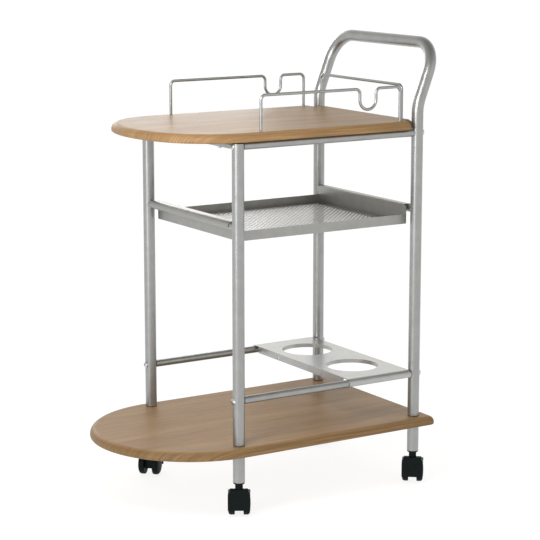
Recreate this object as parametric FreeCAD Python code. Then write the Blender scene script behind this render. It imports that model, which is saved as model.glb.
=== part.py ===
import FreeCAD, Part
import math
import os

# Hostess trolley: two round-fronted shelves on a frame of round steel tube, four twin-wheel castors,
# a hooked-on mesh tray, a bottle rack and three wire galleries.
# Millimetres, +Z up. The floor is Z = 0, the push handle is at +X, the rounded front at -X.

V = FreeCAD.Vector

# ---------------------------------------------------------------- driving dimensions
# Tube frame
leg_spacing_x = 390.0        # centre to centre, front legs to rear legs
leg_spacing_y = 330.0        # centre to centre, across the trolley
leg_radius = 11.0
leg_wall = 1.5
rail_radius = 7.0
rail_wall = 1.2
lower_rail_rise = 83.0       # lower rails above the bottom shelf's face
tray_rail_rise = 399.0       # tray rails above the bottom shelf's face
top_rail_rise = 544.0        # top rails above the bottom shelf's face
rail_reveal = 0.8            # plug's collar seen between a long rail and a leg
leg_reveal = 1.2             # plug's collar seen between a leg and the bottom shelf
collar_step = 0.5            # collars are this much smaller than their tubes
plug_head = 2.0              # cap between a front leg and the top shelf
plug_depth = 12.0

# Push handle, one bent tube with both rear legs
handle_rise = 163.0          # handle bar above the top rails
handle_lean = 21.0           # degrees outward from upright
handle_straight = 36.0       # upright length above the top rails before the lean
handle_bend = 80.0           # bend radius where the lean starts
handle_corner = 55.0         # bend radius of the two top corners

# Shelves
board_thickness = 16.0
board_roundover = 12.0
board_underround = 2.5       # small rounding of the lower edge
board_corner = 13.5          # plan radius of the square end's corners
bottom_side_overhang = 29.0  # bottom shelf past the legs' centres, each side
bottom_end_overhang = 35.0   # bottom shelf past the rear legs' centres
top_side_overhang = 14.0     # top shelf past the legs' centres, each side
top_front_reach = 132.0      # top shelf's front past the front legs' centres
top_nose_radius = 260.0      # plan radius of the top shelf's front
top_nose_blend = 135.0       # plan radius between that front and the straight sides
top_end_setback = 17.0       # square corners short of the rear legs' centres
tongue_overhang = 7.0        # middle of the square end past the rear legs' centres
tongue_gap = 4.0             # between that middle part and each rear leg
tongue_corner = 5.0          # inner plan radius beside it

# Feet and castor sockets
foot_length = 52.3
insert_length = 20.0
stud_radius = 4.0
stud_clearance = 0.2
socket_flange = 3.0
socket_taper = 1.0
socket_depth = 30.0

# Castors
wheel_radius = 21.0
wheel_width = 13.0
wheel_gap = 16.0             # between the two wheels of a castor
wheel_dome = 1.2
wheel_edge = 5.0
castor_trail = 14.0
axle_radius = 3.0
running_clearance = 0.05
web_clearance = 0.4
guard_clearance = 1.5
guard_wall = 2.5
hood_width = 41.0
hood_top_width = 33.5        # of the flat top; below it the sides curve outward
hood_brow = 3.0              # upright edge round the flat top
hood_flare = 9.0             # height of the curve
hood_rise = 32.0             # flat top above the axle
hood_shoulder = 0.5          # flat top ends this far behind the stem
hood_lip_angle = 45.0        # where the guard ends behind the wheels
web_floor_gap = 13.5
hood_skirt = 7.0             # front of the guard, below the axle
hood_rounding = 1.2
neck_radius = 7.1
neck_height = 9.4
neck_root = 5.0              # part of the neck inside the hood
swivel_gap = 0.3
stem_radius = 4.0
stem_length = 24.0           # part of the stem inside the socket
stem_root = 20.0             # part of the stem inside the hood
castor_turns = (32.0, 224.0, 38.0, 50.0)   # degrees, how each castor happens to stand

# Frame bolts
bolt_radius = 3.0
bolt_clearance = 0.2
bolt_head_radius = 6.0
bolt_head_height = 3.4
bolt_grip = 16.0             # thread length inside a rail's insert
bolt_key = 4.0               # hexagon socket, across flats
bolt_key_depth = 2.2
rail_insert_length = 20.0

# Top shelf screws
screw_radius = 2.0
screw_head_radius = 4.0
screw_head_height = 2.4
screw_bite = 11.0
screw_spacing = 204.0

# Wire galleries
wire_radius = 2.75
gallery_height = 64.0        # wire centre above the top shelf's face
gallery_seat = 12.0          # post length inside the shelf
gallery_bend = 9.0
gallery_front_post = 49.0    # front posts behind the front legs' centres
gallery_rear_post = 39.0     # rear posts before the rear legs' centres
gallery_edge = 16.0          # long galleries in from the shelf's edge
dip_centre = 111.0           # rounded dip before the rear legs' centres
dip_radius = 18.0
dip_depth = 38.0
end_gallery_setback = 15.0   # end gallery before the rear legs' centres
end_gallery_half = 135.0

# Mesh tray
sheet = 1.2
tray_side_gap = 4.0          # tray wall to tray rail
tray_end_gap = 5.0           # tray wall to the legs
tray_drop = 28.0             # tray underside below the tray rails' centres
tray_end_wall = 18.0
tray_ledge = 14.0
hook_clearance = 0.3
hook_end = 6.0               # hook stops short of the tray's corner
hook_tail = 2.0
mesh_layer = 0.6
mesh_pitch = 7.5
mesh_strand = 2.4
mesh_margin = 3.0            # plain border round the slots
mesh_inset = 9.0             # mesh's edge in from the tray's walls

# Bottle rack
rack_sheet = 1.5
rack_length = 140.0
rack_leg_gap = 2.0
rack_clearance = 0.3
rack_lip_angle = 35.0        # lip past the rail's middle height
rack_flange = 12.0
rack_flange_end = 15.0
bottle_hole_radius = 50.0
bottle_hole_spacing = 156.0
bottle_collar = 6.0
hang_hole_radius = 2.5

# ---------------------------------------------------------------- derived places
half_x = leg_spacing_x / 2
half_y = leg_spacing_y / 2
axle_z = wheel_radius
hood_top_z = axle_z + hood_rise
neck_top_z = hood_top_z + neck_height
socket_bottom_z = neck_top_z + swivel_gap
foot_bottom_z = socket_bottom_z + socket_flange
shelf_bottom_z = foot_bottom_z + foot_length
shelf_face_z = shelf_bottom_z + board_thickness
leg_start_z = shelf_face_z + leg_reveal
lower_rail_z = shelf_face_z + lower_rail_rise
tray_rail_z = shelf_face_z + tray_rail_rise
top_rail_z = shelf_face_z + top_rail_rise
top_bottom_z = top_rail_z + rail_radius
top_face_z = top_bottom_z + board_thickness
handle_z = top_rail_z + handle_rise
lean = math.radians(handle_lean)
lean_start_z = top_rail_z + handle_straight + handle_bend * math.tan(lean / 2)
handle_out = (handle_z - lean_start_z) * math.tan(lean)
bottom_half_width = half_y + bottom_side_overhang
top_half_width = half_y + top_side_overhang
front_reach = half_x + bottom_half_width
rear_reach = half_x + handle_out + leg_radius
mid_x = (front_reach - rear_reach) / 2      # middle of the legs; the whole box is centred on X = 0
front_x = mid_x - half_x
rear_x = mid_x + half_x
leg_places = ((front_x, -half_y), (front_x, half_y), (rear_x, -half_y), (rear_x, half_y))
leg_names = ("near_front", "far_front", "near_rear", "far_rear")
insert_radius = leg_radius - leg_wall
rail_bore = rail_radius - rail_wall


# ---------------------------------------------------------------- shape helpers
def rod(start, end, radius):
    run = end - start
    return Part.makeCylinder(radius, run.Length, start, run)


def tube(start, end, radius, wall):
    return rod(start, end, radius).cut(rod(start, end, radius - wall))


def block(x0, x1, y0, y1, z0, z1):
    return Part.makeBox(x1 - x0, y1 - y0, z1 - z0, V(x0, y0, z0))


def solid_of(shape):
    shape = shape.removeSplitter()
    if len(shape.Solids) != 1:
        raise ValueError("expected one solid, got %d" % len(shape.Solids))
    return shape.Solids[0]


def rounded_path(points, radii):
    edges = []
    here = points[0]
    for i in range(1, len(points) - 1):
        into = (points[i] - points[i - 1]).normalize()
        out = (points[i + 1] - points[i]).normalize()
        turn = into.getAngle(out)
        radius = radii[i - 1]
        reach = radius * math.tan(turn / 2)
        start = points[i] - into * reach
        end = points[i] + out * reach
        side = (out - into * into.dot(out)).normalize()
        centre = start + side * radius
        middle = centre + (into * math.sin(turn / 2) - side * math.cos(turn / 2)) * radius
        if (start - here).Length > 1e-6:
            edges.append(Part.LineSegment(here, start).toShape())
        edges.append(Part.Arc(start, middle, end).toShape())
        here = end
    if (points[-1] - here).Length > 1e-6:
        edges.append(Part.LineSegment(here, points[-1]).toShape())
    return Part.Wire(edges)


def swept_rod(path, start, direction, radius):
    ring = Part.Wire([Part.makeCircle(radius, start, direction)])
    return path.makePipeShell([ring], True, False)


def extruded(edges, run):
    return Part.Face(Part.Wire(edges)).extrude(run)


def segment(a, b):
    return Part.LineSegment(a, b).toShape()


def turned(edges, centre, axis):
    shape = Part.Face(Part.Wire(edges)).revolve(centre, axis, 360)
    return shape if shape.Volume > 0 else shape.reversed()


def dome(at, rim, crown, radius):
    # arc from the rim to the crown, its centre on the axis; at(along, out) gives a point
    rise = crown - rim
    ball = (radius ** 2 + rise ** 2) / (2 * rise)
    half = math.atan2(radius, ball - rise) / 2
    middle = at(crown - ball + ball * math.cos(half), ball * math.sin(half))
    return Part.Arc(at(rim, radius), middle, at(crown, 0)).toShape()


def arc(centre, radius, angle0, angle1, across, up):
    def at(angle):
        a = math.radians(angle)
        return centre + across * (radius * math.cos(a)) + up * (radius * math.sin(a))
    return Part.Arc(at(angle0), at((angle0 + angle1) / 2), at(angle1)).toShape()


# ---------------------------------------------------------------- shelves
def shelf_blank(outline, z):
    board = Part.Face(outline).extrude(V(0, 0, board_thickness))
    top = z + board_thickness
    upper = [e for e in board.Edges if abs(e.BoundBox.ZMin - top) < 1e-6]
    board = board.makeFillet(board_roundover, upper)
    lower = [e for e in board.Edges if abs(e.BoundBox.ZMax - z) < 1e-6]
    return board.makeFillet(board_underround, lower)


def corner_arc(x, y, sx, sy, z, radius):
    # convex plan corner at (x, y), whose centre lies inward by the radius
    centre = V(x - sx * radius, y - sy * radius, z)
    a = math.radians(45)
    return (centre + V(sx * radius, 0, 0),
            centre + V(sx * radius * math.cos(a), sy * radius * math.sin(a), 0),
            centre + V(0, sy * radius, 0))


def bottom_shelf():
    z = shelf_bottom_z
    w = bottom_half_width
    end = rear_x + bottom_end_overhang
    near = corner_arc(end, -w, 1, -1, z, board_corner)
    far = corner_arc(end, w, 1, 1, z, board_corner)
    outline = Part.Wire([
        Part.Arc(V(front_x, w, z), V(front_x - w, 0, z), V(front_x, -w, z)).toShape(),
        segment(V(front_x, -w, z), near[2]),
        Part.Arc(near[2], near[1], near[0]).toShape(),
        segment(near[0], far[0]),
        Part.Arc(far[0], far[1], far[2]).toShape(),
        segment(far[2], V(front_x, w, z)),
    ])
    board = shelf_blank(outline, z)
    for x, y in leg_places:
        board = board.cut(rod(V(x, y, z - 1), V(x, y, z + board_thickness + 1),
                              stud_radius + stud_clearance))
    return solid_of(board)


def top_shelf():
    z = top_bottom_z
    w = top_half_width
    nose_x = front_x - top_front_reach + top_nose_radius
    blend_y = w - top_nose_blend
    blend_span = top_nose_radius - top_nose_blend
    side_x = nose_x - math.sqrt(blend_span ** 2 - blend_y ** 2)
    turn = math.degrees(math.asin(blend_y / blend_span))
    along, across = V(1, 0, 0), V(0, 1, 0)
    shoulder = rear_x - top_end_setback
    end = rear_x + tongue_overhang
    inner = half_y - leg_radius - tongue_gap
    near = corner_arc(shoulder, -w, 1, -1, z, board_corner)
    far = corner_arc(shoulder, w, 1, 1, z, board_corner)
    tip_near = corner_arc(end, -inner, 1, -1, z, board_corner)
    tip_far = corner_arc(end, inner, 1, 1, z, board_corner)
    c = tongue_corner
    b = c * (1 - math.cos(math.radians(45)))
    outline = Part.Wire([
        arc(V(side_x, blend_y, z), top_nose_blend, 90, 180 - turn, along, across),
        arc(V(nose_x, 0, z), top_nose_radius, 180 - turn, 180 + turn, along, across),
        arc(V(side_x, -blend_y, z), top_nose_blend, 180 + turn, 270, along, across),
        segment(V(side_x, -w, z), near[2]),
        Part.Arc(near[2], near[1], near[0]).toShape(),
        segment(near[0], V(shoulder, -inner - c, z)),
        Part.Arc(V(shoulder, -inner - c, z), V(shoulder + b, -inner - b, z),
                 V(shoulder + c, -inner, z)).toShape(),
        segment(V(shoulder + c, -inner, z), tip_near[2]),
        Part.Arc(tip_near[2], tip_near[1], tip_near[0]).toShape(),
        segment(tip_near[0], tip_far[0]),
        Part.Arc(tip_far[0], tip_far[1], tip_far[2]).toShape(),
        segment(tip_far[2], V(shoulder + c, inner, z)),
        Part.Arc(V(shoulder + c, inner, z), V(shoulder + b, inner + b, z),
                 V(shoulder, inner + c, z)).toShape(),
        segment(V(shoulder, inner + c, z), far[0]),
        Part.Arc(far[0], far[1], far[2]).toShape(),
        segment(far[2], V(side_x, w, z)),
    ])
    board = shelf_blank(outline, z)
    for x, y in gallery_posts():
        board = board.cut(rod(V(x, y, top_face_z - gallery_seat), V(x, y, top_face_z + 1),
                              wire_radius))
    for x, y in screw_places():
        board = board.cut(rod(V(x, y, z - 1), V(x, y, z + screw_bite), screw_radius))
    return solid_of(board)


# ---------------------------------------------------------------- legs, handle and rails
def bolt_holes(x, y):
    holes = None
    for z in (lower_rail_z, top_rail_z):
        hole = rod(V(x - 2 * leg_radius, y, z), V(x + 2 * leg_radius, y, z),
                   bolt_radius + bolt_clearance)
        holes = hole if holes is None else holes.fuse(hole)
    return holes


def front_leg(y):
    leg = tube(V(front_x, y, leg_start_z), V(front_x, y, top_bottom_z - plug_head),
               leg_radius, leg_wall)
    return solid_of(leg.cut(bolt_holes(front_x, y)))


def handle_hoop():
    out = rear_x + handle_out
    points = [V(rear_x, -half_y, leg_start_z), V(rear_x, -half_y, lean_start_z),
              V(out, -half_y, handle_z), V(out, half_y, handle_z),
              V(rear_x, half_y, lean_start_z), V(rear_x, half_y, leg_start_z)]
    path = rounded_path(points, (handle_bend, handle_corner, handle_corner, handle_bend))
    hoop = swept_rod(path, points[0], V(0, 0, 1), leg_radius)
    hoop = hoop.cut(swept_rod(path, points[0], V(0, 0, 1), leg_radius - leg_wall))
    for y in (-half_y, half_y):
        hoop = hoop.cut(bolt_holes(rear_x, y))
    return solid_of(hoop)


def leg_envelope(x, y, room=0.0):
    return rod(V(x, y, shelf_face_z), V(x, y, top_bottom_z), leg_radius + room)


def cross_rail(x, z, hole_places=()):
    # across the trolley, its ends shaped to the two legs and welded there
    rail = tube(V(x, -half_y, z), V(x, half_y, z), rail_radius, rail_wall)
    for y in (-half_y, half_y):
        rail = rail.cut(leg_envelope(x, y))
    for px, py in hole_places:
        if abs(px - x) < 1e-6:
            rail = rail.cut(rod(V(px, py, z - 2 * rail_radius), V(px, py, z + 2 * rail_radius),
                                screw_radius + bolt_clearance))
    return solid_of(max(rail.Solids, key=lambda s: s.Volume))


def long_rail(y, z):
    # along the trolley, its ends shaped to a front and a rear leg
    rail = tube(V(front_x, y, z), V(rear_x, y, z), rail_radius, rail_wall)
    for x in (front_x, rear_x):
        rail = rail.cut(leg_envelope(x, y, rail_reveal))
    return solid_of(max(rail.Solids, key=lambda s: s.Volume))


def rail_insert(x, y, z, inward):
    # threaded plug in the end of a long rail, with a collar between the rail and the leg
    far = x + inward * (leg_radius + rail_insert_length)
    plug = rod(V(x, y, z), V(far, y, z), rail_bore)
    collar = rod(V(x, y, z), V(far, y, z), rail_radius - collar_step)
    collar = collar.common(leg_envelope(x, y, rail_reveal))
    plug = plug.fuse(collar).cut(leg_envelope(x, y))
    plug = plug.cut(rod(V(x, y, z), V(far + inward, y, z), bolt_radius))
    return solid_of(plug)


def frame_bolt(x, y, z, inward):
    # domed head seated round the leg, shank through the leg into the rail's insert
    seat = leg_radius - math.sqrt(leg_radius ** 2 - bolt_head_radius ** 2)
    rim = bolt_head_height * 0.3

    def at(along, out):
        return V(x - inward * (leg_radius + along), y, z + out)
    edges = [segment(at(-seat, 0), at(-seat, bolt_head_radius)),
             segment(at(-seat, bolt_head_radius), at(rim, bolt_head_radius)),
             dome(at, rim, bolt_head_height, bolt_head_radius),
             segment(at(bolt_head_height, 0), at(-seat, 0))]
    head = turned(edges, V(x, y, z), V(1, 0, 0))
    head = head.cut(rod(V(x, y, z - 20), V(x, y, z + 20), leg_radius))
    head = max(head.Solids, key=lambda s: s.Volume)
    tip = x + inward * (leg_radius + bolt_grip)
    start = x - inward * (leg_radius + rim * 0.5)
    bolt = head.fuse(rod(V(start, y, z), V(tip, y, z), bolt_radius))
    ring = [at(bolt_head_height + 1, 0) + V(0, bolt_key / math.sqrt(3) * math.cos(k * math.pi / 3),
                                            bolt_key / math.sqrt(3) * math.sin(k * math.pi / 3))
            for k in range(7)]
    key = Part.Face(Part.makePolygon(ring)).extrude(V(inward * (bolt_key_depth + 1), 0, 0))
    return solid_of(bolt.cut(key))


def bolt_sites():
    return [(x, y, z, 1 if x < mid_x else -1)
            for z in (lower_rail_z, top_rail_z) for x, y in leg_places]


def leg_top_plug(y):
    top = top_bottom_z
    head = rod(V(front_x, y, top - plug_head), V(front_x, y, top), leg_radius)
    shank = rod(V(front_x, y, top - plug_head - plug_depth), V(front_x, y, top - plug_head),
                insert_radius)
    plug = head.fuse(shank)
    # hole for the rail bolt, which crosses the leg just below the cap
    plug = plug.cut(rod(V(front_x - 2 * leg_radius, y, top_rail_z),
                        V(front_x + 2 * leg_radius, y, top_rail_z),
                        bolt_radius + bolt_clearance))
    return solid_of(plug)


# ---------------------------------------------------------------- feet
def foot_tube(x, y):
    return solid_of(tube(V(x, y, foot_bottom_z), V(x, y, shelf_bottom_z), leg_radius, leg_wall))


def leg_insert(x, y):
    # threaded plug in the leg's lower end, with a collar that keeps the tube off the board
    plug = rod(V(x, y, shelf_face_z), V(x, y, shelf_face_z + insert_length), insert_radius)
    plug = plug.fuse(rod(V(x, y, shelf_face_z), V(x, y, leg_start_z), leg_radius - collar_step))
    return solid_of(plug.cut(rod(V(x, y, shelf_face_z - 1),
                                 V(x, y, shelf_face_z + insert_length + 1), stud_radius)))


def foot_insert(x, y):
    plug = rod(V(x, y, shelf_bottom_z - insert_length), V(x, y, shelf_bottom_z), insert_radius)
    return solid_of(plug.cut(rod(V(x, y, shelf_bottom_z - insert_length - 1),
                                 V(x, y, shelf_bottom_z + 1), stud_radius)))


def shelf_stud(x, y):
    return rod(V(x, y, shelf_bottom_z - insert_length + 1),
               V(x, y, shelf_face_z + insert_length - 1), stud_radius)


def castor_socket(x, y):
    body = rod(V(x, y, foot_bottom_z), V(x, y, foot_bottom_z + socket_depth), insert_radius)
    cup = Part.makeCone(leg_radius - socket_taper, leg_radius, socket_flange,
                        V(x, y, socket_bottom_z), V(0, 0, 1))
    bore = rod(V(x, y, socket_bottom_z - 1), V(x, y, neck_top_z + swivel_gap + stem_length + 0.5),
               stem_radius + running_clearance)
    return solid_of(body.fuse(cup).cut(bore))


# ---------------------------------------------------------------- castors
# Each is drawn with its stem on the origin's vertical, trailing towards +Y, axle along X.
def placed(shape, place, turn):
    shape = shape.copy()
    shape.rotate(V(0, 0, 0), V(0, 0, 1), -turn)
    shape.translate(V(place[0], place[1], 0))
    return shape


def hood_outline(y0, y1):
    # seen from the front: straight sides, curved inward towards the narrower flat top
    half, top_half = hood_width / 2, hood_top_width / 2
    radius = (hood_flare ** 2 + (half - top_half) ** 2) / (2 * (half - top_half))
    turn = math.degrees(math.asin(hood_flare / radius))
    high, brow_z = hood_top_z + 1, hood_top_z - hood_brow
    flare_z = brow_z - hood_flare
    across, up = V(1, 0, 0), V(0, 0, 1)
    edges = [segment(V(-half, y0, 0), V(half, y0, 0)),
             segment(V(half, y0, 0), V(half, y0, flare_z)),
             arc(V(half - radius, y0, flare_z), radius, 0, turn, across, up),
             segment(V(top_half, y0, brow_z), V(top_half, y0, high)),
             segment(V(top_half, y0, high), V(-top_half, y0, high)),
             segment(V(-top_half, y0, high), V(-top_half, y0, brow_z)),
             arc(V(radius - half, y0, flare_z), radius, 180 - turn, 180, across, up),
             segment(V(-half, y0, flare_z), V(-half, y0, 0))]
    return extruded(edges, V(0, y1 - y0, 0))


def castor_hood():
    guard_in = wheel_radius + guard_clearance
    guard_out = guard_in + guard_wall
    hub = V(0, castor_trail, axle_z)
    across, up = V(0, 1, 0), V(0, 0, 1)
    front = castor_trail - guard_out
    skirt_z = axle_z - hood_skirt
    corner = 3.0
    lip = math.radians(hood_lip_angle)
    crest = hub + V(0, 0, guard_out)
    out_end = hub + across * (guard_out * math.cos(lip)) + up * (guard_out * math.sin(lip))
    in_end = hub + across * (guard_in * math.cos(lip)) + up * (guard_in * math.sin(lip))
    in_front = V(0, castor_trail - guard_in, axle_z)
    a = V(0, front, skirt_z)
    b = V(0, front, hood_top_z - corner)
    c = V(0, front + corner, hood_top_z)
    d = V(0, hood_shoulder, hood_top_z)
    e = V(0, castor_trail - guard_in, skirt_z)
    edges = [segment(a, b),
             arc(V(0, front + corner, hood_top_z - corner), corner, 180, 90, across, up),
             segment(c, d), segment(d, crest),
             arc(hub, guard_out, 90, hood_lip_angle, across, up),
             segment(out_end, in_end),
             arc(hub, guard_in, hood_lip_angle, 180, across, up),
             segment(in_front, e), segment(e, a)]
    guard = extruded(edges, V(hood_width, 0, 0))
    guard.translate(V(-hood_width / 2, 0, 0))
    outer = [m for m in guard.Edges if abs(m.BoundBox.XLength) < 1e-6
             and (m.CenterOfMass - hub - V(m.CenterOfMass.x, 0, 0)).Length > guard_out - 1.0
             and m.CenterOfMass.z > skirt_z + 0.1]
    guard = guard.makeFillet(hood_rounding, outer)
    guard = guard.common(hood_outline(front - 1, castor_trail + guard_out + 1))
    web_half = wheel_gap / 2 - web_clearance
    web = rod(hub - V(web_half, 0, 0), hub + V(web_half, 0, 0), guard_in + guard_wall / 2)
    web = web.common(block(-web_half, web_half, castor_trail - guard_out, castor_trail + 10,
                           web_floor_gap, axle_z + guard_out))
    neck = rod(V(0, 0, hood_top_z - neck_root), V(0, 0, neck_top_z), neck_radius)
    hood = guard.fuse([web, neck])
    hood = hood.cut(rod(hub - V(wheel_gap, 0, 0), hub + V(wheel_gap, 0, 0), axle_radius))
    hood = hood.cut(rod(V(0, 0, hood_top_z - stem_root), V(0, 0, neck_top_z + 1), stem_radius))
    return solid_of(hood)


def castor_stem():
    top = socket_bottom_z + stem_length
    pin = rod(V(0, 0, hood_top_z - stem_root), V(0, 0, top), stem_radius)
    rim = [e for e in pin.Edges if abs(e.BoundBox.ZMin - top) < 1e-6]
    return solid_of(pin.makeChamfer(0.8, rim))


def castor_axle():
    half = wheel_gap / 2 + wheel_width - wheel_dome - 1.5
    return rod(V(-half, castor_trail, axle_z), V(half, castor_trail, axle_z), axle_radius)


def castor_wheel(side):
    inner = wheel_gap / 2
    rim = inner + wheel_width - wheel_dome
    outer = inner + wheel_width
    hub = V(0, castor_trail, axle_z)
    r = wheel_radius

    def at(across, up):
        return hub + V(side * across, 0, up)
    c = wheel_edge
    k = c * (1 - math.cos(math.radians(45)))
    i = 1.5
    m = i * (1 - math.cos(math.radians(45)))
    edges = [segment(at(inner, 0), at(inner, r - i)),
             Part.Arc(at(inner, r - i), at(inner + m, r - m), at(inner + i, r)).toShape(),
             segment(at(inner + i, r), at(rim - c, r)),
             Part.Arc(at(rim - c, r), at(rim - k, r - k), at(rim, r - c)).toShape(),
             dome(at, rim, outer, r - c),
             segment(at(outer, 0), at(inner, 0))]
    wheel = turned(edges, hub, V(1, 0, 0))
    bore_end = inner + wheel_width - wheel_dome - 1.2
    wheel = wheel.cut(rod(at(inner - 1, 0), at(bore_end, 0), axle_radius + running_clearance))
    return solid_of(wheel)


# ---------------------------------------------------------------- top shelf screws and galleries
def screw_places():
    return [(x, y) for x in (front_x, rear_x) for y in (-screw_spacing / 2, screw_spacing / 2)]


def shelf_screw(x, y):
    low = top_rail_z - rail_radius
    seat = rail_radius - math.sqrt(rail_radius ** 2 - screw_head_radius ** 2)
    head = rod(V(x, y, low - screw_head_height), V(x, y, low + seat), screw_head_radius)
    rim = [e for e in head.Edges if abs(e.BoundBox.ZMax - (low - screw_head_height)) < 1e-6]
    head = head.makeFillet(screw_head_height * 0.7, rim)
    head = head.cut(rod(V(x, y - 20, top_rail_z), V(x, y + 20, top_rail_z), rail_radius))
    head = max(head.Solids, key=lambda s: s.Volume)
    shank = rod(V(x, y, low - screw_head_height / 2), V(x, y, top_bottom_z + screw_bite),
                screw_radius)
    return solid_of(head.fuse(shank))


gallery_y = top_half_width - gallery_edge
gallery_x0 = front_x + gallery_front_post
gallery_x1 = rear_x - gallery_rear_post
end_gallery_x = rear_x - end_gallery_setback


def gallery_posts():
    posts = [(x, y) for x in (gallery_x0, gallery_x1) for y in (-gallery_y, gallery_y)]
    return posts + [(end_gallery_x, -end_gallery_half), (end_gallery_x, end_gallery_half)]


def long_gallery(y):
    # one bent wire with two posts and a rounded dip towards the handle end
    foot = top_face_z - gallery_seat
    rail = top_face_z + gallery_height
    dip = rear_x - dip_centre
    flat = [(gallery_x0, foot), (gallery_x0, rail), (dip - dip_radius, rail),
            (dip - dip_radius, rail - dip_depth), (dip + dip_radius, rail - dip_depth),
            (dip + dip_radius, rail), (gallery_x1, rail), (gallery_x1, foot)]
    points = [V(x, y, z) for x, z in flat]
    g = gallery_bend
    path = rounded_path(points, (g, g, dip_radius, dip_radius, g, g))
    return solid_of(swept_rod(path, points[0], V(0, 0, 1), wire_radius))


def end_gallery():
    foot = top_face_z - gallery_seat
    rail = top_face_z + gallery_height
    h = end_gallery_half
    points = [V(end_gallery_x, y, z) for y, z in ((-h, foot), (-h, rail), (h, rail), (h, foot))]
    path = rounded_path(points, (gallery_bend, gallery_bend))
    return solid_of(swept_rod(path, points[0], V(0, 0, 1), wire_radius))


# ---------------------------------------------------------------- mesh tray
tray_half_x = half_x - rail_radius - tray_side_gap
tray_half_y = half_y - leg_radius - tray_end_gap
tray_floor_z = tray_rail_z - tray_drop
hook_in = rail_radius + hook_clearance
hook_out = hook_in + sheet


def tray_hook(side):
    # wall top folded outward over the rail and a little way down its outer side
    x_wall = side * (tray_half_x - sheet)
    x_rail = side * half_x
    across, up = V(side, 0, 0), V(0, 0, 1)
    y0 = -(tray_half_y - hook_end)
    z_top, z_under = tray_rail_z + hook_out, tray_rail_z + hook_in
    rail = V(mid_x + x_rail, y0, tray_rail_z)
    tail = V(0, 0, -hook_tail)

    def at(x, z):
        return V(mid_x + x, y0, z)
    corner = 2.0
    bend = at(x_wall + side * corner, z_top - corner)
    edges = [segment(at(x_wall, tray_floor_z), at(x_wall, z_top - corner)),
             arc(bend, corner, 180, 90, across, up),
             segment(at(x_wall + side * corner, z_top), at(x_rail, z_top)),
             arc(rail, hook_out, 90, 0, across, up),
             segment(rail + across * hook_out, rail + across * hook_out + tail),
             segment(rail + across * hook_out + tail, rail + across * hook_in + tail),
             segment(rail + across * hook_in + tail, rail + across * hook_in),
             arc(rail, hook_in, 0, 90, across, up),
             segment(at(x_rail, z_under), at(x_wall + side * sheet, z_under)),
             segment(at(x_wall + side * sheet, z_under), at(x_wall + side * sheet, tray_floor_z)),
             segment(at(x_wall + side * sheet, tray_floor_z), at(x_wall, tray_floor_z))]
    return extruded(edges, V(0, 2 * (tray_half_y - hook_end), 0))


def tray_frame():
    x0, x1 = mid_x - tray_half_x, mid_x + tray_half_x
    y0, y1 = -tray_half_y, tray_half_y
    z0 = tray_floor_z
    body = block(x0, x1, y0, y1, z0, z0 + tray_end_wall)
    body = body.cut(block(x0 + sheet, x1 - sheet, y0 + sheet, y1 - sheet, z0 + sheet,
                          z0 + tray_end_wall + 1))
    ledge = sheet + tray_ledge
    body = body.cut(block(x0 + ledge, x1 - ledge, y0 + ledge, y1 - ledge, z0 - 1, z0 + 2 * sheet))
    side_top = tray_rail_z + hook_out - 2.0
    for a in (x0, x1 - sheet):
        body = body.fuse(block(a, a + sheet, y0, y1, z0, side_top))
    for side in (-1, 1):
        body = body.fuse(tray_hook(side))
    return solid_of(body)


def clipped_strip(offset, half_gap, hx, hy):
    # corners of the diagonal strip |x - y - offset| < half_gap inside the rectangle +-hx, +-hy
    corners = [V(-hx, -hy, 0), V(hx, -hy, 0), V(hx, hy, 0), V(-hx, hy, 0)]
    for sign in (1, -1):
        limit = sign * offset + half_gap
        kept = []
        for i, p in enumerate(corners):
            q = corners[(i + 1) % len(corners)]
            dp = sign * (p.x - p.y) - limit
            dq = sign * (q.x - q.y) - limit
            if dp <= 0:
                kept.append(p)
            if dp * dq < 0:
                kept.append(p + (q - p) * (dp / (dp - dq)))
        corners = kept
        if not corners:
            return []
    return corners


def mesh_sheet(z, mirror):
    # one layer of diagonal strands: a thin sheet with a slot between each two strands
    hx = tray_half_x - sheet - mesh_inset
    hy = tray_half_y - sheet - mesh_inset
    frame = [V(-hx, -hy, 0), V(hx, -hy, 0), V(hx, hy, 0), V(-hx, hy, 0)]
    ix, iy = hx - mesh_margin, hy - mesh_margin
    step = mesh_pitch * math.sqrt(2)
    half_gap = (mesh_pitch - mesh_strand) * math.sqrt(2) / 2
    count = int((ix + iy) / step)
    loops = []
    for n in range(-count, count + 1):
        corners = clipped_strip(n * step, half_gap, ix, iy)
        if len(corners) > 2:
            area = 0.0
            for i, p in enumerate(corners):
                q = corners[(i + 1) % len(corners)]
                area += (p.x * q.y - q.x * p.y) / 2
            if abs(area) > 20.0:
                loops.append(corners)
    place = V(mid_x, 0, z)

    def ring(corners):
        pts = [V(p.x, -p.y if mirror else p.y, 0) + place for p in corners]
        return Part.makePolygon(pts + [pts[0]])
    face = Part.Face([ring(frame)] + [ring(c) for c in loops])
    face.validate()
    return face.extrude(V(0, 0, mesh_layer)).Solids[0]


def tray_mesh():
    z = tray_floor_z + sheet
    return [mesh_sheet(z, True), mesh_sheet(z + mesh_layer, False)]


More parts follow.
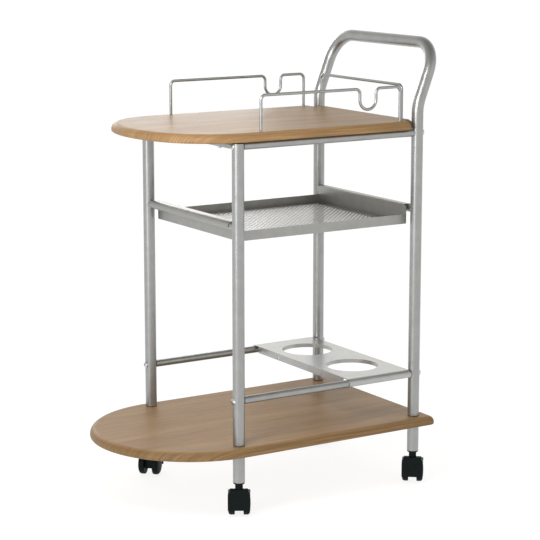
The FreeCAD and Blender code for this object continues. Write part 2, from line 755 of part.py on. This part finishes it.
# ---------------------------------------------------------------- bottle rack
def bottle_rack():
    # flat plate laid over both lower rails, its sides rolled round them
    z = lower_rail_z
    r0 = rail_radius + rack_clearance
    r1 = r0 + rack_sheet
    x1 = rear_x - leg_radius - rack_leg_gap
    x0 = x1 - rack_length
    across, up = V(0, 1, 0), V(0, 0, 1)
    near, far = V(x0, -half_y, z), V(x0, half_y, z)
    low = -rack_lip_angle

    def at(centre, radius, angle, side):
        a = math.radians(angle)
        return centre + V(0, side * radius * math.cos(a), radius * math.sin(a))
    edges = [segment(at(near, r1, 90, -1), at(far, r1, 90, 1)),
             arc(far, r1, 90, low, across, up),
             segment(at(far, r1, low, 1), at(far, r0, low, 1)),
             arc(far, r0, low, 90, across, up),
             segment(at(far, r0, 90, 1), at(near, r0, 90, -1)),
             arc(near, r0, 90, low, across * -1, up),
             segment(at(near, r0, low, -1), at(near, r1, low, -1)),
             arc(near, r1, low, 90, across * -1, up)]
    rack = extruded(edges, V(rack_length, 0, 0))
    plate_z = z + r0
    flange_y = half_y - rack_flange_end
    rack = rack.fuse(block(x0, x0 + rack_sheet, -flange_y, flange_y, plate_z - rack_flange,
                           plate_z + rack_sheet / 2))
    middle = x0 + rack_length / 2
    holes = [(middle, -bottle_hole_spacing / 2), (middle, bottle_hole_spacing / 2)]
    for x, y in holes:
        rack = rack.fuse(rod(V(x, y, plate_z - bottle_collar), V(x, y, plate_z + rack_sheet / 2),
                             bottle_hole_radius + rack_sheet))
    for x, y in holes:
        rack = rack.cut(rod(V(x, y, plate_z - bottle_collar - 1), V(x, y, plate_z + 10),
                            bottle_hole_radius))
        hang_z = plate_z - rack_flange * 0.6
        rack = rack.cut(rod(V(x0 - 1, y, hang_z), V(x0 + rack_sheet + 1, y, hang_z),
                            hang_hole_radius))
    return solid_of(rack)


# ---------------------------------------------------------------- write every piece
def save(name, shapes):
    if not isinstance(shapes, (list, tuple)):
        shapes = [shapes]
    whole = shapes[0] if len(shapes) == 1 else Part.makeCompound(shapes)
    if not whole.isValid():
        raise ValueError(name + " is not valid")
    whole.exportStep(os.path.join("parts", name + ".step"))


os.makedirs("parts", exist_ok=True)
save("bottom_shelf", bottom_shelf())
save("top_shelf", top_shelf())
save("front_leg_near", front_leg(-half_y))
save("front_leg_far", front_leg(half_y))
save("handle_hoop", handle_hoop())
save("front_tray_rail", cross_rail(front_x, tray_rail_z))
save("rear_tray_rail", cross_rail(rear_x, tray_rail_z))
save("front_top_rail", cross_rail(front_x, top_rail_z, screw_places()))
save("rear_top_rail", cross_rail(rear_x, top_rail_z, screw_places()))
save("near_top_rail", long_rail(-half_y, top_rail_z))
save("far_top_rail", long_rail(half_y, top_rail_z))
save("near_lower_rail", long_rail(-half_y, lower_rail_z))
save("far_lower_rail", long_rail(half_y, lower_rail_z))
save("rail_inserts", [rail_insert(*site) for site in bolt_sites()])
save("frame_bolts", [frame_bolt(*site) for site in bolt_sites()])
save("leg_top_plugs", [leg_top_plug(y) for y in (-half_y, half_y)])
save("leg_inserts", [leg_insert(x, y) for x, y in leg_places])
save("foot_inserts", [foot_insert(x, y) for x, y in leg_places])
save("shelf_studs", [shelf_stud(x, y) for x, y in leg_places])
save("castor_sockets", [castor_socket(x, y) for x, y in leg_places])
save("shelf_screws", [shelf_screw(x, y) for x, y in screw_places()])
save("gallery_near", long_gallery(-gallery_y))
save("gallery_far", long_gallery(gallery_y))
save("gallery_end", end_gallery())
save("tray_frame", tray_frame())
save("tray_mesh", tray_mesh())
save("bottle_rack", bottle_rack())
hood, stem, axle = castor_hood(), castor_stem(), castor_axle()
wheels = {"left": castor_wheel(-1), "right": castor_wheel(1)}
for place, name, turn in zip(leg_places, leg_names, castor_turns):
    save("foot_" + name, foot_tube(*place))
    save("castor_" + name + "_hood", placed(hood, place, turn))
    save("castor_" + name + "_stem", placed(stem, place, turn))
    save("castor_" + name + "_axle", placed(axle, place, turn))
    for side in ("left", "right"):
        save("castor_" + name + "_wheel_" + side, placed(wheels[side], place, turn))
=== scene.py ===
import math

import bpy
import numpy as np
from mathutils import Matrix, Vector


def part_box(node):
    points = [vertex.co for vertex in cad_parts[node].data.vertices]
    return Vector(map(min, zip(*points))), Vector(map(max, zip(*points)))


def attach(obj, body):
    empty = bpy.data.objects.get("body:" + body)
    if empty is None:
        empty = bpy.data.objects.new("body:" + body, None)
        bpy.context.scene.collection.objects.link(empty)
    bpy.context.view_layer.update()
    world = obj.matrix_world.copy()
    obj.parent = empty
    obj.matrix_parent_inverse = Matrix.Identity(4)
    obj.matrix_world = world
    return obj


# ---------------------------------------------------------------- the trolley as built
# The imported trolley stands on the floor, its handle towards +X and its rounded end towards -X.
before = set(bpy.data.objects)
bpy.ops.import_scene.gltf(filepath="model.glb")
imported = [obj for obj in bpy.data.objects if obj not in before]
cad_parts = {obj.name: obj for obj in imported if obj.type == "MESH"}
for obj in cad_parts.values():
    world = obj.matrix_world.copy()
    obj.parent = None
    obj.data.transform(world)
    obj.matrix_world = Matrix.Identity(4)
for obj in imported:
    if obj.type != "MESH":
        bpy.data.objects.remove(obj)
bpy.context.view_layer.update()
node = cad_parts
scene = bpy.context.scene


# ---------------------------------------------------------------- camera
# The camera stands near the rounded end, a little above the handle, and looks down on the trolley.
# Its place and angles are those from which every part lines up as it should.
frame_pixels = 540
focal_pixels = 1892.2
sensor_width = 36.0
side_angle = math.radians(32.106)
down_angle = math.radians(10.858)
camera_place = (-1.8315, -2.9906, 1.0901)
far_clip = 200.0

lens = bpy.data.cameras.new("camera")
lens.sensor_width = sensor_width
lens.lens = focal_pixels / frame_pixels * sensor_width
lens.clip_end = far_clip
camera = bpy.data.objects.new("camera", lens)
camera.location = camera_place
camera.rotation_euler = (math.pi / 2 - down_angle, 0.0, -side_angle)
scene.collection.objects.link(camera)
scene.camera = camera
scene.view_settings.view_transform = "Standard"


# ---------------------------------------------------------------- studio
# A plain white floor that glows like a light table runs far behind the trolley, in a white room
# that is brightest near the floor and behind the trolley, and dimmer overhead. Five soft boxes
# light the left side, the near side, the far edge of the top shelf, the right side and the back.
floor_half = 40.0
floor_tone = 0.25
floor_glow = 0.85
horizon_light = 0.86        # the room's brightness near the floor
horizon_height = 0.25       # how steep a direction still counts as near the floor, 0 to 1
zenith_light = 0.26         # straight overhead
behind_light = 0.45         # added straight behind the trolley
behind_start = 0.5          # cosine of the widest angle from there that gets any of it
floor_mesh = bpy.data.meshes.new("floor")
floor_mesh.from_pydata([(-floor_half, -floor_half, 0), (floor_half, -floor_half, 0),
                        (floor_half, floor_half, 0), (-floor_half, floor_half, 0)],
                       [], [(0, 1, 2, 3)])
floor = bpy.data.objects.new("floor", floor_mesh)
scene.collection.objects.link(floor)
floor_paint = bpy.data.materials.new("floor_white")
floor_paint.use_nodes = True
floor_shader = floor_paint.node_tree.nodes["Principled BSDF"]
floor_shader.inputs["Base Color"].default_value = (floor_tone, floor_tone, floor_tone, 1)
floor_shader.inputs["Roughness"].default_value = 0.9
floor_shader.inputs["Specular IOR Level"].default_value = 0.1
floor_shader.inputs["Emission Color"].default_value = (1, 1, 1, 1)
floor_shader.inputs["Emission Strength"].default_value = floor_glow
floor_mesh.materials.append(floor_paint)

room = bpy.data.worlds.new("room")
room.use_nodes = True
air = room.node_tree
sky = air.nodes["Background"]
heading = air.nodes.new("ShaderNodeTexCoord").outputs["Generated"]
upward = air.nodes.new("ShaderNodeSeparateXYZ")
air.links.new(heading, upward.inputs[0])
dimming = air.nodes.new("ShaderNodeMapRange")
dimming.inputs["From Min"].default_value = horizon_height
dimming.inputs["From Max"].default_value = 1.0
dimming.inputs["To Min"].default_value = horizon_light
dimming.inputs["To Max"].default_value = zenith_light
air.links.new(upward.outputs["Z"], dimming.inputs["Value"])
behind = air.nodes.new("ShaderNodeVectorMath")
behind.operation = "DOT_PRODUCT"
behind.inputs[1].default_value = (math.sin(side_angle), math.cos(side_angle), 0.0)
air.links.new(heading, behind.inputs[0])
swell = air.nodes.new("ShaderNodeMapRange")
swell.inputs["From Min"].default_value = behind_start
swell.inputs["To Max"].default_value = behind_light
air.links.new(behind.outputs["Value"], swell.inputs["Value"])
total = air.nodes.new("ShaderNodeMath")
air.links.new(dimming.outputs["Result"], total.inputs[0])
air.links.new(swell.outputs["Result"], total.inputs[1])
air.links.new(total.outputs[0], sky.inputs["Strength"])
sky.inputs["Color"].default_value = (1.0, 0.995, 0.975, 1)
scene.world = room


def soft_box(name, place, aim, width, height, power, colour):
    """A rectangular area light at place whose face looks at aim."""
    data = bpy.data.lights.new(name, "AREA")
    data.shape = "RECTANGLE"
    data.size, data.size_y = width, height
    data.energy = power
    data.color = colour
    lamp = bpy.data.objects.new(name, data)
    away = np.array(place, float) - np.array(aim, float)
    away /= np.linalg.norm(away)
    lamp.location = place
    lamp.rotation_euler = (math.acos(away[2]), 0.0, math.atan2(away[0], -away[1]))
    scene.collection.objects.link(lamp)


soft_box("key_box", (-3.1, -1.3, 1.1), (0.0, 0.0, 0.45), 1.0, 2.0, 36.0, (0.92, 0.96, 1.0))
soft_box("near_box", (-0.6, -0.5, 1.05), (-0.2, 0.0, 0.65), 0.35, 0.35, 4.4, (1.0, 0.98, 0.95))
soft_box("veil_box", (0.3, 0.92, 0.9), (-0.15, -0.05, 0.7), 0.55, 0.3, 1.3, (1.0, 1.0, 1.0))
soft_box("fill_box", (1.9, -3.1, 1.5), (0.0, 0.0, 0.4), 1.6, 2.2, 3.0, (1.0, 1.0, 1.0))
soft_box("far_box", (0.6, 4.2, 1.45), (0.0, 0.0, 0.7), 1.6, 0.8, 11.0, (1.0, 1.0, 1.0))


# ---------------------------------------------------------------- painted tube frame
# Legs, handle, rails and feet are bent or straight steel tube, sprayed silver grey.
# The paint has fine metal flakes and a faint orange-peel surface.
def blank_finish(name):
    """A new material with its shader and a read-out of the piece's own place in metres."""
    finish = bpy.data.materials.new(name)
    finish.use_nodes = True
    tree = finish.node_tree
    place = tree.nodes.new("ShaderNodeTexCoord").outputs["Object"]
    return finish, tree, tree.nodes["Principled BSDF"], place


def grain(tree, place, scale, detail=2.0, stretch=(1, 1, 1), rough=0.5):
    """Soft noise with a given number of features per metre, drawn out along the axes by stretch."""
    fit = tree.nodes.new("ShaderNodeMapping")
    fit.inputs["Scale"].default_value = [scale * s for s in stretch]
    noise = tree.nodes.new("ShaderNodeTexNoise")
    noise.inputs["Scale"].default_value = 1.0
    noise.inputs["Detail"].default_value = detail
    noise.inputs["Roughness"].default_value = rough
    tree.links.new(place, fit.inputs["Vector"])
    tree.links.new(fit.outputs["Vector"], noise.inputs["Vector"])
    return noise.outputs["Fac"]


def between(tree, value, low, high, out_low, out_high):
    """Maps value from low..high to out_low..out_high, held at both ends."""
    step = tree.nodes.new("ShaderNodeMapRange")
    for key, number in (("From Min", low), ("From Max", high),
                        ("To Min", out_low), ("To Max", out_high)):
        step.inputs[key].default_value = number
    tree.links.new(value, step.inputs["Value"])
    return step.outputs["Result"]


def blend_colours(tree, amount, first, second):
    """Goes from the first colour to the second as amount goes from 0 to 1."""
    mix = tree.nodes.new("ShaderNodeMix")
    mix.data_type = "RGBA"
    for socket, colour in ((mix.inputs[6], first), (mix.inputs[7], second)):
        if hasattr(colour, "is_linked"):
            tree.links.new(colour, socket)
        else:
            socket.default_value = (*colour, 1)
    tree.links.new(amount, mix.inputs[0])
    return mix.outputs[2]


def relief(tree, height, depth, strength, below=None):
    """A bump of the given depth in metres, laid over another bump if one is given."""
    bump = tree.nodes.new("ShaderNodeBump")
    bump.inputs["Distance"].default_value = depth
    bump.inputs["Strength"].default_value = strength
    tree.links.new(height, bump.inputs["Height"])
    if below is not None:
        tree.links.new(below, bump.inputs["Normal"])
    return bump.outputs["Normal"]


def silver_paint(name, tone, roughness, peel=0.00006):
    """Metal-flake paint: a slightly mottled grey, fine sparkle in the gloss, and orange peel."""
    finish, tree, shader, place = blank_finish(name)
    mottle = grain(tree, place, 60.0, 3.0)
    flakes = grain(tree, place, 2600.0, 1.0)
    dark = [c * 0.94 for c in tone]
    light = [min(1.0, c * 1.05) for c in tone]
    tree.links.new(blend_colours(tree, between(tree, mottle, 0.3, 0.7, 0, 1), dark, light),
                   shader.inputs["Base Color"])
    tree.links.new(between(tree, flakes, 0.3, 0.7, roughness - 0.05, roughness + 0.05),
                   shader.inputs["Roughness"])
    bump = relief(tree, grain(tree, place, 420.0, 2.0), peel, 0.25)
    tree.links.new(relief(tree, flakes, 0.00001, 0.3, bump), shader.inputs["Normal"])
    shader.inputs["Metallic"].default_value = 0.88
    shader.inputs["Coat Weight"].default_value = 0.25
    shader.inputs["Coat Roughness"].default_value = 0.18
    return finish


def finish_nodes(finish, *names):
    """Puts one finish on every material slot of the named nodes."""
    for name in names:
        for place in node[name].material_slots:
            place.material = finish


tube_paint = silver_paint("tube_paint", (0.34, 0.342, 0.335), 0.34)
corners = ("near_front", "far_front", "near_rear", "far_rear")
finish_nodes(tube_paint, "front_leg_near", "front_leg_far", "handle_hoop", "front_tray_rail",
             "rear_tray_rail", "front_top_rail", "rear_top_rail", "near_top_rail", "far_top_rail",
             "near_lower_rail", "far_lower_rail", *("foot_" + c for c in corners))


# ---------------------------------------------------------------- weld beads
# Where the cross rails meet the legs, a small rippled bead of weld goes round each joint.
# It is part of the tube frame and is painted with it.
bead_radius = 0.0013
bead_ripples = 22
bead_around = 132
bead_sides = 8


def ring_surface(points):
    """A closed surface from a grid of points (rings, sides, 3) that wraps round both ways."""
    rings, sides = points.shape[:2]
    i, j = np.meshgrid(np.arange(rings), np.arange(sides), indexing="ij")
    a, b = i * sides + j, i * sides + (j + 1) % sides
    c, d = ((i + 1) % rings) * sides + (j + 1) % sides, ((i + 1) % rings) * sides + j
    return points.reshape(-1, 3), np.stack([a, b, c, d], axis=-1).reshape(-1, 4)


def weld_bead(leg, rail_radius, leg_radius, height, side):
    """The curve where a rail (along Y) enters an upright leg, carried round as a rippled rope."""
    turn = np.linspace(0, 2 * np.pi, bead_around, endpoint=False)[:, None]
    lap = np.linspace(0, 2 * np.pi, bead_sides, endpoint=False)[None, :]
    thick = bead_radius * (1 + 0.14 * np.sin(bead_ripples * turn))
    out = rail_radius * np.cos(turn)
    reach = np.sqrt(leg_radius ** 2 - out ** 2)
    swell = rail_radius + thick * np.cos(lap)
    x = leg[0] + swell * np.cos(turn)
    y = leg[1] - side * (reach + thick * np.sin(lap))
    z = height + swell * np.sin(turn)
    return np.stack([x, y + 0 * lap, z], axis=-1)


def middle(name):
    low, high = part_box(name)
    return (np.array(low) + np.array(high)) / 2


leg_low, leg_high = (np.array(c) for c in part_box("front_leg_near"))
leg_radius = (leg_high[0] - leg_low[0]) / 2
leg_y = abs(middle("front_leg_near")[1])
bead_points, bead_faces = [], []
for rail in ("front_tray_rail", "rear_tray_rail", "front_top_rail", "rear_top_rail"):
    low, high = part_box(rail)
    x, _, z = middle(rail)
    for side in (-1, 1):
        grid = weld_bead((x, side * leg_y), (high[0] - low[0]) / 2, leg_radius, z, side)
        points, faces = ring_surface(grid)
        bead_faces.append(faces + sum(len(p) for p in bead_points))
        bead_points.append(points)
bead_mesh = bpy.data.meshes.new("weld_beads")
bead_mesh.from_pydata(np.concatenate(bead_points).tolist(), [], np.concatenate(bead_faces).tolist())
bead_mesh.polygons.foreach_set("use_smooth", np.ones(len(bead_mesh.polygons), bool))
bead_mesh.materials.append(tube_paint)
beads = bpy.data.objects.new("weld_beads", bead_mesh)
scene.collection.objects.link(beads)
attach(beads, "frame")


# ---------------------------------------------------------------- bolts, screws and pins
# Domed bolts through the legs, screws under the top shelf, and castor stems and axles.
# They are zinc-plated steel, with a faintly cloudy, fine-brushed surface.
def plated_steel(name, tone, roughness):
    """Plated steel: cloudy tone, and fine scratches in the gloss."""
    finish, tree, shader, place = blank_finish(name)
    cloud = grain(tree, place, 180.0, 3.0)
    scratch = grain(tree, place, 900.0, 2.0, (1, 1, 0.15))
    dark = [c * 0.85 for c in tone]
    light = [min(1, c * 1.1) for c in tone]
    tree.links.new(blend_colours(tree, cloud, dark, light), shader.inputs["Base Color"])
    tree.links.new(between(tree, scratch, 0.3, 0.7, roughness - 0.08, roughness + 0.1),
                   shader.inputs["Roughness"])
    tree.links.new(relief(tree, scratch, 0.00002, 0.3), shader.inputs["Normal"])
    shader.inputs["Metallic"].default_value = 1.0
    return finish


bolt_steel = plated_steel("bolt_steel", (0.60, 0.60, 0.61), 0.26)
finish_nodes(bolt_steel, "frame_bolts", "shelf_screws", "shelf_studs", "foot_inserts",
             *("castor_%s_%s" % (c, part) for c in corners for part in ("stem", "axle")))


# ---------------------------------------------------------------- wooden shelves
# Fibreboard wrapped in a satin oak-grain foil, which runs over the rounded edge without a break.
# The grain lies along the trolley; over the curved end it runs down the edge at a slant.
foil_lift = 0.65        # how far the pattern goes on down the rounded edge, for each metre of drop
painted_shade_start = 0.0005     # depth under the top face where the edge's painted shade begins
tick_start = 0.001      # and where the edge's dark strokes do
edge_full = 0.004       # depth from which both show fully


def oak_foil(name, top, light, dark, roughness, painted_edge_shade):
    """Oak-grain foil: broad bands, long fine fibres and short pores, all drawn out along X.

    Below the top face, a point takes the pattern from further out along its own outward
    direction, by a share of its depth under the face, as a foil that is folded down does.
    The edge also has dark slanted strokes, and painted shade: its colour is scaled down below the
    top face by the given shade factor."""
    finish, tree, shader, place = blank_finish(name)
    split = tree.nodes.new("ShaderNodeSeparateXYZ")
    tree.links.new(place, split.inputs[0])
    drop = tree.nodes.new("ShaderNodeMath")
    drop.operation = "MULTIPLY_ADD"
    drop.inputs[1].default_value = -foil_lift
    drop.inputs[2].default_value = top * foil_lift
    tree.links.new(split.outputs["Z"], drop.inputs[0])
    facing = tree.nodes.new("ShaderNodeNewGeometry").outputs["Normal"]
    flat = tree.nodes.new("ShaderNodeVectorMath")
    flat.operation = "MULTIPLY"
    flat.inputs[1].default_value = (1, 1, 0)
    tree.links.new(facing, flat.inputs[0])
    outward = tree.nodes.new("ShaderNodeVectorMath")
    outward.operation = "NORMALIZE"
    tree.links.new(flat.outputs[0], outward.inputs[0])
    shift = tree.nodes.new("ShaderNodeVectorMath")
    shift.operation = "SCALE"
    tree.links.new(outward.outputs[0], shift.inputs[0])
    tree.links.new(drop.outputs[0], shift.inputs["Scale"])
    level = tree.nodes.new("ShaderNodeVectorMath")
    level.operation = "MULTIPLY_ADD"
    level.inputs[1].default_value = (1, 1, 0)
    tree.links.new(place, level.inputs[0])
    tree.links.new(shift.outputs[0], level.inputs[2])
    foil = level.outputs[0]

    bands = grain(tree, foil, 1.0, 2.0, (1.2, 26.0, 1.0))
    fibres = grain(tree, foil, 1.0, 4.0, (9.0, 420.0, 1.0), 0.6)
    pores = grain(tree, foil, 1.0, 1.0, (45.0, 900.0, 1.0))
    tone = blend_colours(tree, between(tree, bands, 0.32, 0.68, 0.0, 1.0), dark, light)
    streaked = blend_colours(tree, between(tree, fibres, 0.38, 0.62, 0.0, 0.55), tone,
                             [c * 0.62 for c in dark])
    pored = blend_colours(tree, between(tree, pores, 0.62, 0.74, 0.0, 0.5), streaked,
                          [c * 0.40 for c in dark])
    height = split.outputs["Z"]
    strokes = grain(tree, foil, 1.0, 2.0, (6.0, 330.0, 1.0))
    ticks = tree.nodes.new("ShaderNodeMath")
    ticks.operation = "MULTIPLY"
    tree.links.new(between(tree, strokes, 0.42, 0.60, 0.0, 0.8), ticks.inputs[0])
    tree.links.new(between(tree, height, top - edge_full, top - tick_start, 1.0, 0.15),
                   ticks.inputs[1])
    ticked = blend_colours(tree, ticks.outputs[0], pored, [c * 0.70 for c in dark])
    # painted shade: below the top face the edge's colour is scaled down to the shade factor
    depth = between(tree, height, top - edge_full, top - painted_shade_start, painted_edge_shade, 1.0)
    shaded = tree.nodes.new("ShaderNodeVectorMath")
    shaded.operation = "SCALE"
    tree.links.new(ticked, shaded.inputs[0])
    tree.links.new(depth, shaded.inputs["Scale"])
    tree.links.new(shaded.outputs[0], shader.inputs["Base Color"])
    tree.links.new(between(tree, fibres, 0.3, 0.7, roughness - 0.05, roughness + 0.07),
                   shader.inputs["Roughness"])
    tree.links.new(relief(tree, fibres, 0.00008, 0.25), shader.inputs["Normal"])
    shader.inputs["Specular IOR Level"].default_value = 0.20
    return finish


# The bottom shelf's edges get painted shade, down to 0.78 of their colour; the top shelf's edges
# are left as they are.
for board, painted_edge_shade in (("bottom_shelf", 0.78), ("top_shelf", 1.0)):
    finish_nodes(oak_foil(board + "_foil", float(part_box(board)[1][2]), (0.42, 0.258, 0.118),
                          (0.32, 0.187, 0.081), 0.42, painted_edge_shade), board)


# ---------------------------------------------------------------- wire galleries
# Three bent steel wires round the top shelf, sprayed with the same silver as the tubes.
# They are plugged into holes in the board.
wire_paint = silver_paint("wire_paint", (0.36, 0.362, 0.355), 0.32)
finish_nodes(wire_paint, "gallery_near", "gallery_far", "gallery_end")


# ---------------------------------------------------------------- mesh tray
# A folded sheet frame that hooks over the cross rails, with a fine diamond mesh for its floor.
# Both are sprayed silver, a little flatter than the tubes.
tray_paint = silver_paint("tray_paint", (0.34, 0.338, 0.32), 0.42)
finish_nodes(tray_paint, "tray_frame")
mesh_paint = silver_paint("mesh_paint", (0.39, 0.388, 0.372), 0.36)
finish_nodes(mesh_paint, "tray_mesh")


# ---------------------------------------------------------------- bottle rack
# One pressed sheet with two collared holes, its sides rolled round the low rails.
# It is sprayed silver, smoother than the tray.
rack_paint = silver_paint("rack_paint", (0.44, 0.44, 0.43), 0.34)
finish_nodes(rack_paint, "bottle_rack")


# ---------------------------------------------------------------- castors
# Twin-wheel castors of black moulded nylon, and the black caps and sockets of the tubes.
# The mould leaves a fine, even texture that breaks up the shine.
def moulded_nylon(name, tone, roughness):
    """Moulded black plastic: fine spark-eroded texture, and slightly uneven gloss."""
    finish, tree, shader, place = blank_finish(name)
    wear = grain(tree, place, 90.0, 3.0)
    texture = grain(tree, place, 1500.0, 2.0)
    tree.links.new(blend_colours(tree, wear, [c * 0.8 for c in tone], [c * 1.3 for c in tone]),
                   shader.inputs["Base Color"])
    tree.links.new(between(tree, wear, 0.3, 0.7, roughness - 0.06, roughness + 0.08),
                   shader.inputs["Roughness"])
    tree.links.new(relief(tree, texture, 0.00006, 0.4), shader.inputs["Normal"])
    shader.inputs["Specular IOR Level"].default_value = 0.07
    return finish


hood_nylon = moulded_nylon("hood_nylon", (0.005, 0.0085, 0.008), 0.46)
wheel_nylon = moulded_nylon("wheel_nylon", (0.004, 0.0075, 0.007), 0.52)
socket_nylon = moulded_nylon("socket_nylon", (0.006, 0.009, 0.0085), 0.5)
finish_nodes(hood_nylon, *("castor_%s_hood" % c for c in corners))
finish_nodes(wheel_nylon, *("castor_%s_wheel_%s" % (c, side)
                            for c in corners for side in ("left", "right")))
finish_nodes(socket_nylon, "castor_sockets", "leg_top_plugs", "rail_inserts", "leg_inserts")
